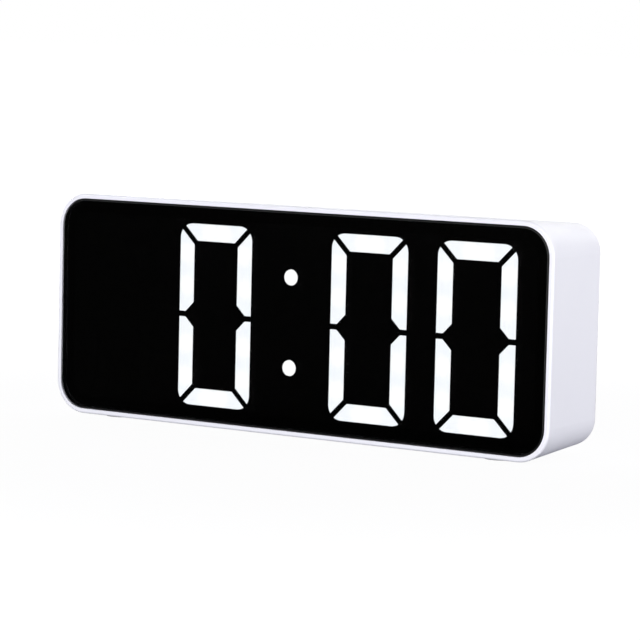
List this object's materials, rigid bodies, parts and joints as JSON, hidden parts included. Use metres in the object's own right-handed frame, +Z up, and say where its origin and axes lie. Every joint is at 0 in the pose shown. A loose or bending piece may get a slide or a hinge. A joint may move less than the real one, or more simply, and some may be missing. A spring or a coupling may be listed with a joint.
{
  "type": "alarm clock",
  "caption": "Table-top digital alarm clock: slim white case, black lens over four large lit seven-segment digits, keys, power inlet and battery door on the back.",
  "frame": {"origin": "on the table, under the middle of the clock", "axes": "+X to the right seen from the front, +Y from the lens to the back, +Z up"},
  "size_m": [0.16, 0.03, 0.0629],
  "materials": {
    "white_case": "satin moulded plastic",
    "smoked_lens": "polished dark mirror acrylic",
    "tape": "foam adhesive tape",
    "black_frame": "matt black moulded plastic",
    "lit_diffuser": "milky, lit from behind",
    "dark_diffuser": "smoke-tinted, unlit",
    "circuit_board": "green lacquered fibreglass",
    "led_body": "resin over the diode",
    "chip_black": "moulded epoxy",
    "bright_metal": "nickel-plated sheet",
    "zinc_screw": "zinc-plated",
    "white_key": "satin moulded plastic",
    "dark_plunger": "moulded plastic",
    "buzzer_black": "moulded plastic",
    "lead_sleeve": "flat insulated lead",
    "cell_wrap": "shrink sleeve",
    "grey_rubber": "soft rubber"
  },
  "bodies": {
    "clock": {"case_shell": "white_case", "front_lens": "smoked_lens", "lens_tape": "tape", "display_frame": "black_frame", "hour_tens_segments": "dark_diffuser", "hour_units_segments": "lit_diffuser", "minute_tens_segments": "lit_diffuser", "minute_units_segments": "lit_diffuser", "colon_dots": "lit_diffuser", "middle_segments": "dark_diffuser", "display_board": "circuit_board", "segment_leds": "led_body", "display_chips": "chip_black", "crystal": "bright_metal", "key_board": "circuit_board", "key_switches": "chip_black", "usb_board": "circuit_board", "usb_socket": "bright_metal", "usb_tongue": "chip_black", "buzzer": "buzzer_black", "key_ribbon": "lead_sleeve", "power_lead": "lead_sleeve", "buzzer_lead": "lead_sleeve", "battery_leads": "lead_sleeve", "batteries": "cell_wrap", "battery_contacts": "bright_metal", "case_screws": "zinc_screw", "board_screws": "zinc_screw", "small_board_screws": "zinc_screw", "rubber_feet": "grey_rubber"},
    "light_key": {"light_button": "white_key", "light_plunger": "dark_plunger"},
    "down_key": {"down_button": "white_key", "down_plunger": "dark_plunger"},
    "up_key": {"up_button": "white_key", "up_plunger": "dark_plunger"},
    "alarm_key": {"alarm_button": "white_key", "alarm_plunger": "dark_plunger"},
    "set_key": {"set_button": "white_key", "set_plunger": "dark_plunger"},
    "door": {"battery_door": "white_case"}
  },
  "joints": [
    {"name": "light_press", "type": "slide", "parent": "clock", "child": "light_key", "axis": [0, -1, 0], "range_m": [0, 0.0004], "stiffness_N_per_m": 1500, "springref_m": -0.0006},
    {"name": "down_press", "type": "slide", "parent": "clock", "child": "down_key", "axis": [0, -1, 0], "range_m": [0, 0.0004], "stiffness_N_per_m": 1500, "springref_m": -0.0006},
    {"name": "up_press", "type": "slide", "parent": "clock", "child": "up_key", "axis": [0, -1, 0], "range_m": [0, 0.0004], "stiffness_N_per_m": 1500, "springref_m": -0.0006},
    {"name": "alarm_press", "type": "slide", "parent": "clock", "child": "alarm_key", "axis": [0, -1, 0], "range_m": [0, 0.0004], "stiffness_N_per_m": 1500, "springref_m": -0.0006},
    {"name": "set_press", "type": "slide", "parent": "clock", "child": "set_key", "axis": [0, -1, 0], "range_m": [0, 0.0004], "stiffness_N_per_m": 1500, "springref_m": -0.0006},
    {"name": "door_swing", "type": "hinge", "parent": "clock", "child": "door", "pos_m": [0, 0.015, 0.0069], "axis": [-1, 0, 0], "range_deg": [0, 70]}
  ]
}
